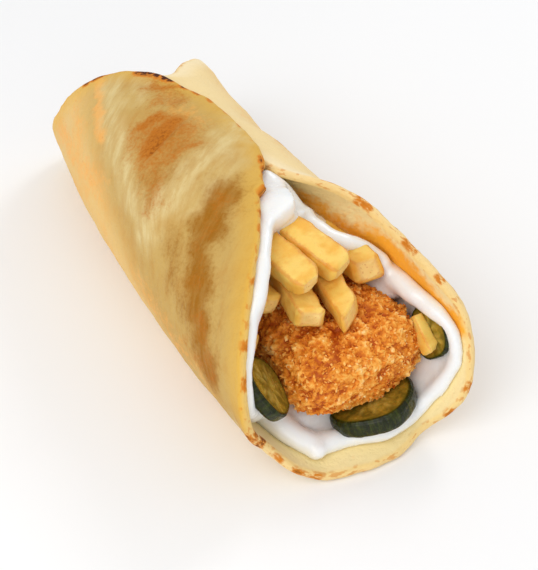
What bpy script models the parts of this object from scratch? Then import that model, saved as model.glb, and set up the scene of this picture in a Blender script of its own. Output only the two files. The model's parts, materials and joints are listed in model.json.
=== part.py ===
# Breaded chicken, fries and pickle slices in white garlic sauce, rolled in one thin flatbread.
# The roll lies seam up with its open mouth towards -Y. Metres, +Z up.
# The origin is on the ground, under the middle of the object's box.
#
# A place on the roll is given by two numbers. "turn" is the angle in degrees round the roll's
# axis, from 0 on top towards -X, so 90 is the left side, 180 the bottom and 270 the right side.
# "along" is the distance towards the mouth in millimetres, from the middle of the roll.

import bpy
import bmesh
import numpy as np
from mathutils import Matrix, Vector, noise

MM = 0.001

# the roll's outer surface: stations along it, with the half width and sideways shift of each
STATIONS = (-90, -45, 0, 45, 90)
HALF_WIDTHS = (23.5, 28.0, 30.5, 33.0, 33.5)
SIDE_SHIFTS = (3.0, -0.8, -1.7, -0.3, -0.5)
HEIGHT_RATIO = 0.93          # height of the roll over its width
RESTING_SAG = 1.2            # how far the round underside is pressed flat
SAG_BLEND = 1.5              # height over which the flat turns into the round
WALL_STRAIGHT_FROM = 279     # turn from which the right wall stands up straight at the mouth
WALL_STRAIGHTNESS = 1.0

BREAD_THICKNESS = 2.6
CONTACT_GAP = 0.3            # between pieces that touch
MEAN_RADIUS = 31.0           # turns a degree of turn into a length across the bread

# rim of the unrolled bread as (turn, along), from the tip of the flap round to its seam edge
BREAD_RIM = (
    (-14, 2), (-7, 8.5), (2, 15.5), (11, 23.5), (22, 31), (37, 40), (56, 49.5), (78, 58.5), (100, 60.5),
    (122, 58), (142, 63), (165, 67), (190, 69), (214, 67), (240, 70), (262, 67), (280, 61),
    (292, 54), (300, 42), (306, 30), (322, 17), (337, 6), (352, -8), (380, -18), (395, -38),
    (386, -58), (348, -55), (330, -62), (309, -68), (285, -74), (245, -86), (190, -91),
    (130, -90), (90, -83), (66, -77), (42, -69), (18, -63), (-3, -52), (-10, -40), (-18, -28),
    (-18, -9),
)
BREAD_MIDDLE = (186, -8)     # where the rings of the bread's mesh shrink to
RIM_POINTS = 112
DISC_RINGS = 12
FOLD_GAP = 0.8               # between the flap and the inner layer under it

# garlic sauce: where its front edge lies on the bread, from turn 0 once round
SAUCE_EDGE_TURNS = (
    0, 20, 40, 60, 85, 100, 112, 122, 130, 136, 141, 147, 156, 165, 182, 203, 226, 248, 262, 269,
    274, 279, 283, 288, 294, 305, 318, 330, 340, 350, 360,
)
SAUCE_EDGE = (
    20, 28, 40, 49, 55, 53, 48, 42, 39, 41, 47, 53, 57, 59.5, 61.5, 63.5, 64, 64.5, 64, 62,
    57, 42, 20, 0, -10, -12, -4, 6, 13, 17, 20,
)
# and where it ends towards the back
SAUCE_BACK_TURNS = (0, 45, 90, 135, 180, 225, 270, 315, 360)
SAUCE_BACK = (-44, -50, -62, -70, -72, -72, -62, -48, -44)
SAUCE_GAP = 0.75             # between the sauce and the bread
SAUCE_TURNS = (0, 45, 85, 120, 185, 225, 248, 262, 270, 277, 284, 295, 310, 335, 360)
SAUCE_THICKNESS = (5.4, 4.8, 3.8, 2.8, 1.8, 1.2, 0.9, 0.9, 1.1, 2.0, 2.8, 3.4, 4.2, 4.4, 5.4)
THICKER_BEHIND = 1.25        # its thickness where it closes in, over that at its front edge
CLOSING_TURNS = (0, 18, 60, 90, 112, 130, 180, 225, 245, 262, 275, 282, 290, 305, 340, 360)
CLOSING = (20, 23, 20, 20, 10, 6, 5, 6, 14, 24, 28, 22, 16, 14, 17, 20)
SAUCE_SIDES = 60

# breaded chicken: stations along it with the middle, half width and half height of each
CHICKEN_STATIONS = (-76, -50, -10, 20, 40, 58)
CHICKEN_X = (2.0, 1.5, 1.6, 2.6, 4.2, 4.8)
CHICKEN_Z = (20.5, 20.0, 19.8, 20.0, 20.4, 21.2)
CHICKEN_HALF_WIDTHS = (13.0, 15.0, 16.5, 17.5, 18.4, 18.4)
CHICKEN_HALF_HEIGHTS = (9.5, 10.5, 11.0, 11.2, 11.2, 11.0)
CHICKEN_ROLL = 0             # degrees, right side up
CHICKEN_SQUARENESS = 2.45     # 2 is an ellipse
CHICKEN_END = 9              # length over which its ends round off
CRUMB_RELIEF = 1.1
CRUMB_SPACING = 4.2
CHICKEN_SIDES = 36

# fries: both ends as (x, along, z), width, height and roll in degrees
FRIES = (
    ("fry_top", (3.6, 17.0, 45.4), (8.8, 37.0, 44.2), 8.0, 7.4, 2),
    ("fry_left_top", (-4.8, 18.5, 44.8), (-2.6, 40.0, 47.2), 8.2, 7.4, -6),
    ("fry_right_top", (16.0, 13, 37.4), (18.6, 35.2, 37.4), 8.0, 8.0, 0),
    ("fry_front_left", (-1.4, 18, 36.9), (-4.0, 43.4, 37.4), 7.4, 7.0, 6),
    ("fry_front_middle", (8.6, 16, 36.8), (5.4, 46.6, 36.6), 7.2, 7.0, -4),
    ("fry_left", (-12.0, 14, 37.0), (-10.8, 34, 38.2), 6.6, 6.6, 25),
    ("fry_left_low", (-19.5, 16, 30.0), (-20.6, 39.5, 33.0), 6.4, 6.2, 10),
    ("fry_right", (25.0, 49.0, 28.2), (24.4, 57.8, 23.2), 3.4, 4.8, 8),
)
FRY_CORNER = 0.28            # share of the half width that rounds its corners

# pickle slices: middle as (x, along, z), direction its face looks in, radius, thickness, and
# how much of the radius is left behind the middle
PICKLES = (
    ("pickle_slice_front", (9.2, 55.4, 8.5), (-0.18, 0.08, 0.95), 11.6, 5.0, 0.1),
    ("pickle_slice_left", (-20.0, 49.8, 28.4), (0.72, -0.26, 0.62), 7.8, 3.6, 1.0),
    ("pickle_slice_right", (27.8, 53.5, 25.3), (-0.98, -0.08, 0.16), 6.4, 1.6, 1.0),
)
PICKLE_SIDES = 24


def smooth_curve(stations, values, at):
    """Value of a smooth curve through the given stations."""
    x = np.asarray(stations, float)
    y = np.asarray(values, float)
    slope = np.gradient(y, x)
    at = np.clip(np.asarray(at, float), x[0], x[-1])
    i = np.clip(np.searchsorted(x, at) - 1, 0, len(x) - 2)
    width = x[i + 1] - x[i]
    t = (at - x[i]) / width
    return ((2 * t**3 - 3 * t**2 + 1) * y[i] + (t**3 - 2 * t**2 + t) * width * slope[i]
            + (3 * t**2 - 2 * t**3) * y[i + 1] + (t**3 - t**2) * width * slope[i + 1])


def ease(low, high, at):
    """0 below low, 1 above high, smooth between."""
    t = np.clip((np.asarray(at, float) - low) / (high - low), 0, 1)
    return t * t * (3 - 2 * t)


def bump(turn, along, centre, size):
    """A round hump of height 1 on the roll, of the given half sizes."""
    du = (turn - centre[0]) / size[0]
    dv = (along - centre[1]) / size[1]
    return np.exp(-du * du - dv * dv)


def swell(turn, along):
    """Broad humps and hollows of the roll, in millimetres outward."""
    turn = np.mod(turn, 360)
    out = -1.4 * bump(turn, along, (311, -30), (20, 7))
    out = out + 2.6 * bump(turn, along, (308, -66), (24, 12))
    out = out - 2.0 * bump(turn, along, (120, 58), (26, 18))
    return out + 1.6 * bump(turn, along, (284, 60), (14, 12))


def flap_lift(turn, along):
    """How far the flap is raised by the inner layer of bread under it."""
    return (BREAD_THICKNESS + FOLD_GAP) * ease(72, 40, turn) * ease(12, -6, along)


def roll_point(turn, along, depth=0.0, raised=True):
    """Point of the roll, depth below the outer face of the bread."""
    turn = np.asarray(turn, float)
    along = np.asarray(along, float)
    half_width = smooth_curve(STATIONS, HALF_WIDTHS, along)
    half_height = half_width * HEIGHT_RATIO
    reach = swell(turn, along) - depth
    if raised:
        reach = reach + flap_lift(turn, along)
    x = (half_width + reach) * -np.sin(np.radians(turn))
    z = (half_height + reach) * np.cos(np.radians(turn))
    # the right wall stands up straight towards its rim in place of curling over
    past = np.radians(np.clip(np.mod(turn, 360) - WALL_STRAIGHT_FROM, 0, 50))
    share = WALL_STRAIGHTNESS * ease(2, 36, along)
    out, up = share * half_width * (1 - np.cos(past)), share * half_width * (past - np.sin(past))
    lean = np.radians(WALL_STRAIGHT_FROM)
    x = x - out * np.sin(lean) - up * np.cos(lean)
    z = z + out * np.cos(lean) - up * np.sin(lean)
    # the underside is pressed flat by the weight
    z = z + half_height - RESTING_SAG - depth
    below = np.abs(np.mod(turn, 360) - 180) < 80
    rounded = np.where(z < 0, 0, np.where(z < SAG_BLEND, z**2 / (2 * SAG_BLEND), z - SAG_BLEND / 2))
    z = np.where(below, rounded, z - SAG_BLEND / 2) + depth
    return np.stack([x + smooth_curve(STATIONS, SIDE_SHIFTS, along), -along, z], -1)


def closed_curve(points, count, turns=0.0):
    """Evenly spaced points on a smooth closed curve through the given ones.

    A curve that runs once round the roll ends turns further on than it starts.
    """
    p = np.asarray(points, float)
    step = np.array([turns, 0.0])
    before = np.vstack([p[-1:] - step, p[:-1]])
    after = np.vstack([p[1:], p[:1] + step])
    far = np.vstack([p[2:], p[:2] + step])
    steps = np.linspace(0, 1, 24, endpoint=False)[None, :, None]
    b, q, a, f = (v[:, None, :] for v in (before, p, after, far))
    fine = 0.5 * (2 * q + (a - b) * steps + (2 * b - 5 * q + 4 * a - f) * steps**2
                  + (3 * q - b - 3 * a + f) * steps**3)
    fine = fine.reshape(-1, p.shape[1])
    fine = np.vstack([fine, fine[:1] + step])
    length = np.concatenate([[0], np.cumsum(np.linalg.norm(np.diff(fine, axis=0), axis=1))])
    at = np.linspace(0, length[-1], count, endpoint=False)
    return np.stack([np.interp(at, length, fine[:, k]) for k in range(p.shape[1])], -1)


def make_material(name, colour, roughness):
    material = bpy.data.materials.new(name)
    material.use_nodes = True
    shader = material.node_tree.nodes["Principled BSDF"]
    shader.inputs["Base Color"].default_value = (*colour, 1)
    shader.inputs["Roughness"].default_value = roughness
    material.diffuse_color = (*colour, 1)
    return material


def make_object(name, points, faces, material):
    """A closed smooth-shaded object from points in millimetres."""
    mesh = bpy.data.meshes.new(name)
    mesh.from_pydata([tuple(p * MM) for p in np.asarray(points, float)], [], faces)
    work = bmesh.new()
    work.from_mesh(mesh)
    bmesh.ops.recalc_face_normals(work, faces=work.faces)
    bmesh.ops.triangulate(work, faces=work.faces)
    work.to_mesh(mesh)
    work.free()
    mesh.shade_smooth()
    mesh.materials.append(material)
    item = bpy.data.objects.new(name, mesh)
    bpy.context.scene.collection.objects.link(item)
    return item


def ring_faces(rings, count, start_pole=None, end_pole=None):
    """Quads between closed rings of count points each, with fans to the poles."""
    faces = []
    for k in range(rings - 1):
        for j in range(count):
            n = (j + 1) % count
            faces.append((k * count + j, k * count + n, (k + 1) * count + n, (k + 1) * count + j))
    last = (rings - 1) * count
    for j in range(count):
        n = (j + 1) % count
        if start_pole is not None:
            faces.append((start_pole, n, j))
        if end_pole is not None:
            faces.append((last + j, last + n, end_pole))
    return faces


def make_flatbread():
    """The round of bread: rings from its middle out to the rim, over it and back inside."""
    rim = closed_curve([(t * np.radians(MEAN_RADIUS), s) for t, s in BREAD_RIM], RIM_POINTS)
    middle = np.array([BREAD_MIDDLE[0] * np.radians(MEAN_RADIUS), BREAD_MIDDLE[1]])
    arm = rim - middle
    reach = np.linalg.norm(arm, axis=1, keepdims=True)
    half = BREAD_THICKNESS / 2
    rows = []
    shares = np.arange(1, DISC_RINGS + 1) / DISC_RINGS
    for share in shares:
        rows.append((share * (reach - half), 0.0))
    for angle in (50, 0, -50):
        across = half * (1 - np.cos(np.radians(angle)))
        rows.append((reach - across, half - half * np.sin(np.radians(angle))))
    for share in shares[::-1]:
        rows.append((share * (reach - half), BREAD_THICKNESS))
    points = []
    for distance, depth in rows:
        flat = middle + arm / reach * distance
        turn = flat[:, 0] / np.radians(MEAN_RADIUS)
        points.append(roll_point(turn, flat[:, 1], depth))
    points.append(roll_point([BREAD_MIDDLE[0]], [BREAD_MIDDLE[1]], 0.0))
    points.append(roll_point([BREAD_MIDDLE[0]], [BREAD_MIDDLE[1]], BREAD_THICKNESS))
    total = len(rows) * RIM_POINTS
    faces = ring_faces(len(rows), RIM_POINTS, start_pole=total, end_pole=total + 1)
    return make_object("flatbread", np.vstack(points), faces,
                       make_material("toasted_flatbread", (0.80, 0.62, 0.33), 0.75))


def chicken_point(angle, along, spread=0.0):
    """Point of the chicken's plain outline, spread outside it, at an angle round its middle."""
    along = np.asarray(along, float)
    middle = np.clip(along, CHICKEN_STATIONS[0], CHICKEN_STATIONS[-1])
    x = smooth_curve(CHICKEN_STATIONS, CHICKEN_X, middle)
    z = smooth_curve(CHICKEN_STATIONS, CHICKEN_Z, middle)
    wide = smooth_curve(CHICKEN_STATIONS, CHICKEN_HALF_WIDTHS, middle)
    high = smooth_curve(CHICKEN_STATIONS, CHICKEN_HALF_HEIGHTS, middle)
    own = np.radians(np.asarray(angle, float) - CHICKEN_ROLL)
    power = CHICKEN_SQUARENESS
    radius = (np.abs(np.sin(own) / wide)**power + np.abs(np.cos(own) / high)**power)**(-1 / power)
    return x, z, radius + spread, -np.sin(np.radians(angle)), np.cos(np.radians(angle))


def make_chicken():
    """A strip of breaded chicken that runs through the roll, its crust in crags."""
    first, last = CHICKEN_STATIONS[0], CHICKEN_STATIONS[-1]
    ends = np.radians(np.array([14, 30, 48, 68, 90]))
    front = [(last - CHICKEN_END * (1 - np.cos(a)), np.sin(a)**0.75) for a in ends]
    steps = 3.0 * 1.14**np.arange(40)
    inner = last - CHICKEN_END - np.cumsum(steps)
    inner = [(value, 1.0) for value in inner if value > first + CHICKEN_END + 4]
    back = [(first + CHICKEN_END * (1 - np.cos(a)), np.sin(a)**0.75) for a in ends[::-1]]
    rows = front + inner + back
    angles = np.arange(CHICKEN_SIDES) * 360 / CHICKEN_SIDES
    points = []
    for k, (along, share) in enumerate(rows):
        turned = angles + (k % 2) * 180 / CHICKEN_SIDES
        x, z, radius, sine, cosine = chicken_point(turned, along)
        for j in range(CHICKEN_SIDES):
            reach = radius[j] * share
            spot = Vector((x + reach * sine[j], -along, z + reach * cosine[j]))
            crag = CRUMB_RELIEF * crumb_noise(spot / CRUMB_SPACING)
            reach += crag * share
            points.append((x + reach * sine[j], -along + crag * (1 - share),
                           z + reach * cosine[j]))
    for along in (last, first):
        x, z, *_ = chicken_point(0, along)
        points.append((float(x), -along, float(z)))
    total = len(rows) * CHICKEN_SIDES
    faces = ring_faces(len(rows), CHICKEN_SIDES, start_pole=total, end_pole=total + 1)
    return make_object("breaded_chicken", points, faces,
                       make_material("fried_breading", (0.72, 0.33, 0.08), 0.8))


def crumb_noise(spot):
    """Craggy relief between about -1 and 1."""
    return max(-1.0, min(1.0, 1.3 * noise.noise(spot) + 0.8 * noise.noise(spot * 2.1)))


def make_sauce():
    """Sauce that lines the bread, closes in behind the fries and holds the chicken."""
    fine = np.linspace(0, 360, 721)
    edge = smooth_curve(SAUCE_EDGE_TURNS, SAUCE_EDGE, fine)
    length = np.concatenate([[0], np.cumsum(np.hypot(0.7 * np.diff(edge),
                                                     np.radians(0.5) * MEAN_RADIUS))])
    turn = np.interp(np.arange(SAUCE_SIDES) * length[-1] / SAUCE_SIDES, length, fine)
    front = smooth_curve(SAUCE_EDGE_TURNS, SAUCE_EDGE, turn)
    layer = smooth_curve(SAUCE_TURNS, SAUCE_THICKNESS, turn)
    closing = smooth_curve(CLOSING_TURNS, CLOSING, turn)
    back = smooth_curve(SAUCE_BACK_TURNS, SAUCE_BACK, turn)
    slope = np.interp(turn, fine, np.gradient(edge, np.radians(0.5) * MEAN_RADIUS))
    touching = BREAD_THICKNESS + SAUCE_GAP

    def lining(turn, along, depth):
        return roll_point(turn, along, depth, raised=False)

    def seen_from_chicken(points, along):
        """Angle of each point round the middle of the chicken."""
        x, z, *_ = chicken_point(turn, along)
        return np.degrees(np.unwrap(np.arctan2(x - points[:, 0], points[:, 2] - z)))

    def round_chicken(angle, along):
        x, z, radius, sine, cosine = chicken_point(angle, along, CRUMB_RELIEF + CONTACT_GAP + 0.4)
        return np.stack([x + radius * sine, -along, z + radius * cosine], -1)

    rows = []
    for share in (1.0, 0.8, 0.62, 0.46, 0.32, 0.2, 0.1, 0.03):
        rows.append(lining(turn, front * (1 - share) + back * share, touching))
    # a round bead along the edge, where the sauce does not hang over in front of it
    bead = np.minimum(0.4 * layer, 1.6) * ease(-4, 4, front - closing)
    for angle in (-60, -20, 20, 60):
        rise = 0.5 + 0.5 * np.sin(np.radians(angle))
        bulge = bead * np.cos(np.radians(angle)) / np.hypot(1, slope)
        rows.append(lining(turn - np.degrees(bulge * slope / MEAN_RADIUS), front + bulge,
                           touching + layer * rise))
    inner = touching + layer * THICKER_BEHIND
    for share in (0.1, 0.35, 0.65, 1.0):
        rows.append(lining(turn, front * (1 - share) + closing * share,
                           (touching + layer) * (1 - share) + inner * share))
    # in to the chicken, and along it to the back
    near = seen_from_chicken(lining(turn, closing, inner), closing)
    far = seen_from_chicken(lining(turn, back, touching), back)
    for behind, share in ((0.0, 0.25), (1.0, 0.6), (3.0, 1.0)):
        rows.append(lining(turn, closing - behind, inner) * (1 - share)
                    + round_chicken(near, closing - behind) * share)
    for share in (0.3, 0.65, 1.0):
        rows.append(round_chicken(near * (1 - share) + far * share,
                                  (closing - 3.0) * (1 - share) + back * share))
    faces = ring_faces(len(rows), SAUCE_SIDES)
    last = (len(rows) - 1) * SAUCE_SIDES
    for j in range(SAUCE_SIDES):
        n = (j + 1) % SAUCE_SIDES
        faces.append((last + j, last + n, n, j))
    return make_object("garlic_sauce", np.vstack(rows), faces,
                       make_material("garlic_sauce", (0.90, 0.90, 0.86), 0.3))


def make_fry(name, rear, tip, wide, high, roll, material):
    """A cut stick of potato with rounded corners and slightly uneven sides."""
    start = np.array([rear[0], -rear[1], rear[2]], float)
    end = np.array([tip[0], -tip[1], tip[2]], float)
    axis = (end - start) / np.linalg.norm(end - start)
    side = np.cross(axis, (0, 0, 1))
    side = side / np.linalg.norm(side)
    up = np.cross(side, axis)
    tilt = np.radians(roll)
    side, up = side * np.cos(tilt) + up * np.sin(tilt), up * np.cos(tilt) - side * np.sin(tilt)
    corner = 1 - FRY_CORNER
    outline = [(1, -corner), (1, corner), (corner, 1), (-corner, 1),
               (-1, corner), (-1, -corner), (-corner, -1), (corner, -1)]
    rows = []
    seed = sum(map(ord, name))
    for share, size in ((0, 0.82), (0.05, 0.97), (0.35, 1.0), (0.65, 1.03), (0.95, 0.98), (1, 0.84)):
        middle = start + (end - start) * share
        wobble = 0.5 * noise.noise(Vector((seed, share * 3, 0)))
        for a, b in outline:
            rows.append(middle + side * (a * wide / 2 * size + wobble)
                        + up * (b * high / 2 * size + wobble))
    rows.append(start - axis * 0.2)
    rows.append(end + axis * 0.2)
    faces = ring_faces(6, 8, start_pole=48, end_pole=49)
    return make_object(name, rows, faces, material)


def cut_pockets(item, cutters):
    """Cut the shapes of the cutters out of an object, and remove them."""
    for cutter in cutters:
        cut = item.modifiers.new("pocket", "BOOLEAN")
        cut.operation = "DIFFERENCE"
        cut.solver = "EXACT"
        cut.object = cutter
    graph = bpy.context.evaluated_depsgraph_get()
    solid = bpy.data.meshes.new_from_object(item.evaluated_get(graph))
    item.modifiers.clear()
    item.data = solid
    for cutter in cutters:
        bpy.data.objects.remove(cutter, do_unlink=True)


def make_pickle(name, middle, facing, radius, thickness, kept, material):
    """A cross-cut slice of pickled cucumber: a slightly uneven disc with soft edges."""
    axis = np.array(facing, float)
    axis = axis / np.linalg.norm(axis)
    front = np.array((0, -1, 0)) - axis * -axis[1]
    front = front / np.linalg.norm(front)
    side = np.cross(front, axis)
    centre = np.array([middle[0], -middle[1], middle[2]], float)
    angles = np.arange(PICKLE_SIDES) * 2 * np.pi / PICKLE_SIDES
    uneven = 1 + 0.03 * np.cos(3 * angles) + 0.02 * np.sin(5 * angles)
    points = []
    for share, rise in ((0.93, 1.0), (1.0, 0.6), (1.02, 0.0), (1.0, -0.6), (0.93, -1.0)):
        ring = radius * share * uneven
        for k, angle in enumerate(angles):
            forward = max(ring[k] * np.sin(angle), -kept * radius * share)
            points.append(centre + side * ring[k] * np.cos(angle) + front * forward
                          + axis * rise * thickness / 2)
    points.append(centre + axis * thickness / 2)
    points.append(centre - axis * thickness / 2)
    faces = ring_faces(5, PICKLE_SIDES, start_pole=5 * PICKLE_SIDES, end_pole=5 * PICKLE_SIDES + 1)
    return make_object(name, points, faces, material)


def clear_scene():
    for item in list(bpy.data.objects):
        bpy.data.objects.remove(item, do_unlink=True)


def centre_on_origin():
    """Shift every mesh so the origin is under the middle of the object's box."""
    meshes = [item.data for item in bpy.data.objects if item.type == "MESH"]
    points = np.array([tuple(vertex.co) for mesh in meshes for vertex in mesh.vertices])
    low, high = points.min(axis=0), points.max(axis=0)
    shift = Vector((-(low[0] + high[0]) / 2, -(low[1] + high[1]) / 2, -low[2]))
    for mesh in meshes:
        mesh.transform(Matrix.Translation(shift))


def main():
    clear_scene()
    potato = make_material("fried_potato", (0.85, 0.55, 0.17), 0.55)
    pickle = make_material("pickled_cucumber", (0.12, 0.16, 0.03), 0.35)
    room = 2 * CONTACT_GAP + 0.2
    make_flatbread()
    make_chicken()
    pockets = []
    for name, rear, tip, wide, high, roll in FRIES:
        make_fry(name, rear, tip, wide, high, roll, potato)
        pockets.append(make_fry("pocket", rear, tip, wide + room, high + room, roll, potato))
    for name, middle, facing, radius, thickness, kept in PICKLES:
        make_pickle(name, middle, facing, radius, thickness, kept, pickle)
        pockets.append(make_pickle("pocket", middle, facing, radius + room / 2,
                                   thickness + room, kept + room / radius, pickle))
    cut_pockets(make_sauce(), pockets)
    centre_on_origin()


main()
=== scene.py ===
# Breaded chicken, fries and pickle slices in white sauce, rolled in a thin toasted flatbread.
# The mouth of the roll looks towards -Y. Shapes are worked out in millimetres, kept in metres.
# "turn" is degrees round the roll from the top towards -X, "along" is millimetres to the mouth.
import json
import math

import bmesh
import bpy
import numpy as np
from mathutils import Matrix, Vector, noise

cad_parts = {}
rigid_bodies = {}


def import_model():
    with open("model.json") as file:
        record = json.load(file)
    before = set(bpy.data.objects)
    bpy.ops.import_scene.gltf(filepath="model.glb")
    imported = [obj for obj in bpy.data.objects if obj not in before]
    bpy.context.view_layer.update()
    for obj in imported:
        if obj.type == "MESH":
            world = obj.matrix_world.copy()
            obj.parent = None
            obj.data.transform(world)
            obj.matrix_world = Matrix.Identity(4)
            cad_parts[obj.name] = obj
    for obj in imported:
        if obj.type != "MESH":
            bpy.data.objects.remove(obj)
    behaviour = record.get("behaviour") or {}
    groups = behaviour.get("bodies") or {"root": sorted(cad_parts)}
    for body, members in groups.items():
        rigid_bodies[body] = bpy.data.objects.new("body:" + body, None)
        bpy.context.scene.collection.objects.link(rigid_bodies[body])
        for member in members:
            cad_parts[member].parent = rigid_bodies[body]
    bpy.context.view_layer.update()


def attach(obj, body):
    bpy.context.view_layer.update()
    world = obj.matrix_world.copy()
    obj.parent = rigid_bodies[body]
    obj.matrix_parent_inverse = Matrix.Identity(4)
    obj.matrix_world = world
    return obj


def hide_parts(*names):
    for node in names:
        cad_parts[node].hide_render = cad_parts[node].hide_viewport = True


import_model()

mm = 0.001

roll = {
    "stations": (-90, -45, 0, 45, 90),
    "halfWidths": (23.5, 28.0, 30.5, 33.0, 33.5),
    "sideShifts": (3.0, -0.8, -1.7, -0.3, -0.5),
    "heightRatio": 0.93,
    "restingSag": 1.2,
    "sagBlend": 1.5,
    "sagReach": 80,                          # degrees to each side of the underside
    "wallFrom": 279,                         # the right wall stands up straight towards its rim
    "wallFor": 50,
    "wallAlong": (2, 36),
    # soft swells: middle in turn and along, half widths, height
    "swells": (((311, -30), (20, 7), -1.4), ((308, -66), (24, 12), 2.6), ((120, 58), (26, 18), -2.0),
               ((284, 60), (14, 12), 1.6)),
    "flapTurns": (72, 40),                   # where the flap rises over the layer under it
    "flapAlongs": (12, -6),
    "radius": 31.0,                          # on which the bread is laid flat
    "place": (-0.46699, -10.69386, 0.0),     # from the roll's own middle to the frame's origin
}
perTurn = math.radians(roll["radius"])       # millimetres of bread to a degree of turn


def curveThrough(pairs, at, values=None):
    x, y = (np.array(pairs, float).T if values is None
            else (np.asarray(pairs, float), np.asarray(values, float)))
    slope = np.gradient(y, x)
    at = np.clip(np.asarray(at, float), x[0], x[-1])
    i = np.clip(np.searchsorted(x, at) - 1, 0, len(x) - 2)
    width = x[i + 1] - x[i]
    t = (at - x[i]) / width
    return ((2 * t**3 - 3 * t**2 + 1) * y[i] + (t**3 - 2 * t**2 + t) * width * slope[i]
            + (3 * t**2 - 2 * t**3) * y[i + 1] + (t**3 - t**2) * width * slope[i + 1])


def ease(low, high, at):
    t = np.clip((np.asarray(at, float) - low) / (high - low), 0, 1)
    return t * t * (3 - 2 * t)


def humps(turn, along, shapes):
    return sum(height * np.exp(-((turn - middle[0]) / size[0])**2 - ((along - middle[1]) / size[1])**2)
               for middle, size, height in shapes)


def flapLift(turn, along):
    return ((bread["thickness"] + bread["foldGap"]) * ease(*roll["flapTurns"], turn)
            * ease(*roll["flapAlongs"], along))


def rollPoint(turn, along, depth=0.0, raised=True):
    turn, along, depth = np.broadcast_arrays(*(np.asarray(v, float) for v in (turn, along, depth)))
    halfWidth = curveThrough(roll["stations"], along, roll["halfWidths"])
    halfHeight = halfWidth * roll["heightRatio"]
    whole = np.mod(turn, 360)
    reach = humps(whole, along, roll["swells"]) - depth + (flapLift(turn, along) if raised else 0)
    x = (halfWidth + reach) * -np.sin(np.radians(turn))
    z = (halfHeight + reach) * np.cos(np.radians(turn))
    past = np.radians(np.clip(whole - roll["wallFrom"], 0, roll["wallFor"]))
    share = ease(*roll["wallAlong"], along)
    out, up = share * halfWidth * (1 - np.cos(past)), share * halfWidth * (past - np.sin(past))
    lean = np.radians(roll["wallFrom"])
    x = x - out * np.sin(lean) - up * np.cos(lean)
    z = z + out * np.cos(lean) - up * np.sin(lean)
    z = z + halfHeight - roll["restingSag"] - depth
    soft = roll["sagBlend"]
    pressed = np.where(z < 0, 0, np.where(z < soft, z**2 / (2 * soft), z - soft / 2))
    z = np.where(np.abs(whole - 180) < roll["sagReach"], pressed, z - soft / 2) + depth
    return np.stack([x + curveThrough(roll["stations"], along, roll["sideShifts"]), -along, z], -1)


def travelled(points):
    # length along a line of points, up to each of them
    return np.concatenate([[0], np.cumsum(np.linalg.norm(np.diff(points, axis=0), axis=1))])


def unit(vectors):
    return vectors / np.maximum(np.linalg.norm(vectors, axis=-1, keepdims=True), 1e-6)


def closedCurve(points, count, between=24):
    p = np.asarray(points, float)
    before, after, far = np.roll(p, 1, 0), np.roll(p, -1, 0), np.roll(p, -2, 0)
    t = np.linspace(0, 1, between, endpoint=False)[None, :, None]
    b, q, a, f = (v[:, None, :] for v in (before, p, after, far))
    fine = 0.5 * (2 * q + (a - b) * t + (2 * b - 5 * q + 4 * a - f) * t**2
                  + (3 * q - b - 3 * a + f) * t**3)
    fine = fine.reshape(-1, p.shape[1])
    fine = np.vstack([fine, fine[:1]])
    length = travelled(fine)
    at = np.linspace(0, length[-1], count, endpoint=False)
    return np.stack([np.interp(at, length, fine[:, k]) for k in range(p.shape[1])], -1)


def roughness(points, layers, seed=0.0):
    # sum of noises, each (spacing, height), at every point
    total = np.zeros(len(points))
    for k, (spacing, height) in enumerate(layers):
        shifted = points / spacing + seed + 17.3 * k             # no two layers fall in step
        total += height * np.array([noise.noise(Vector(p)) for p in shifted.tolist()])
    return total


def overRings(rows, ends, count):
    # each value that the rows give, ring after ring of count points, then at the two end points
    return [np.concatenate([np.broadcast_to(v, (count, *np.shape(v)[1:])) for v in values] + [np.array(last)])
            for values, last in zip(zip(*rows), zip(*ends))]


def ringFaces(rings, count, poles=True):
    # quads from ring to ring, closed by a fan at each end point, or else joined into a loop
    j = np.arange(count)
    n = (j + 1) % count
    faces = []
    for k in range(rings - 1 if poles else rings):
        a, b = k * count, (k + 1) % rings * count
        faces += np.stack([a + j, a + n, b + n, b + j], -1).tolist()
    if poles:
        last, pole = (rings - 1) * count, np.full(count, rings * count)
        faces += np.stack([pole, n, j], -1).tolist()
        faces += np.stack([last + j, last + n, pole + 1], -1).tolist()
    return faces


def addObject(name, data):
    item = bpy.data.objects.new(name, data)
    bpy.context.scene.collection.objects.link(item)
    return item


def makePiece(name, points, faces, material, **fields):
    mesh = bpy.data.meshes.new(name)
    placed = (np.asarray(points, float) + roll["place"]) * mm
    mesh.from_pydata(placed.tolist(), [], faces)
    for key, values in fields.items():
        kind, slot = ("FLOAT_VECTOR", "vector") if np.ndim(values) == 2 else ("FLOAT", "value")
        layer = mesh.attributes.new(key, kind, "POINT")
        layer.data.foreach_set(slot, np.asarray(values, np.float32).ravel())
    turnOutward(mesh)
    mesh.shade_smooth()
    mesh.materials.append(material)
    return addObject(name, mesh)


def turnOutward(mesh):
    work = bmesh.new()
    work.from_mesh(mesh)
    bmesh.ops.recalc_face_normals(work, faces=work.faces)
    if work.calc_volume(signed=True) < 0:
        bmesh.ops.reverse_faces(work, faces=work.faces)
    work.to_mesh(mesh)
    work.free()


def applyModifiers(piece):
    # what the modifiers make of the piece becomes its plain mesh
    graph = bpy.context.evaluated_depsgraph_get()
    made = bpy.data.meshes.new_from_object(piece.evaluated_get(graph))
    piece.modifiers.clear()
    old, piece.data = piece.data, made
    bpy.data.meshes.remove(old)
    made.name = piece.name
    return made


def register(piece, slot, *nodes):
    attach(piece, "root")
    if nodes:
        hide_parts(*nodes)
    faces = sum(len(p.vertices) - 2 for p in piece.data.polygons)
    print("made", piece.name, "with", faces, "triangles")


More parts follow.
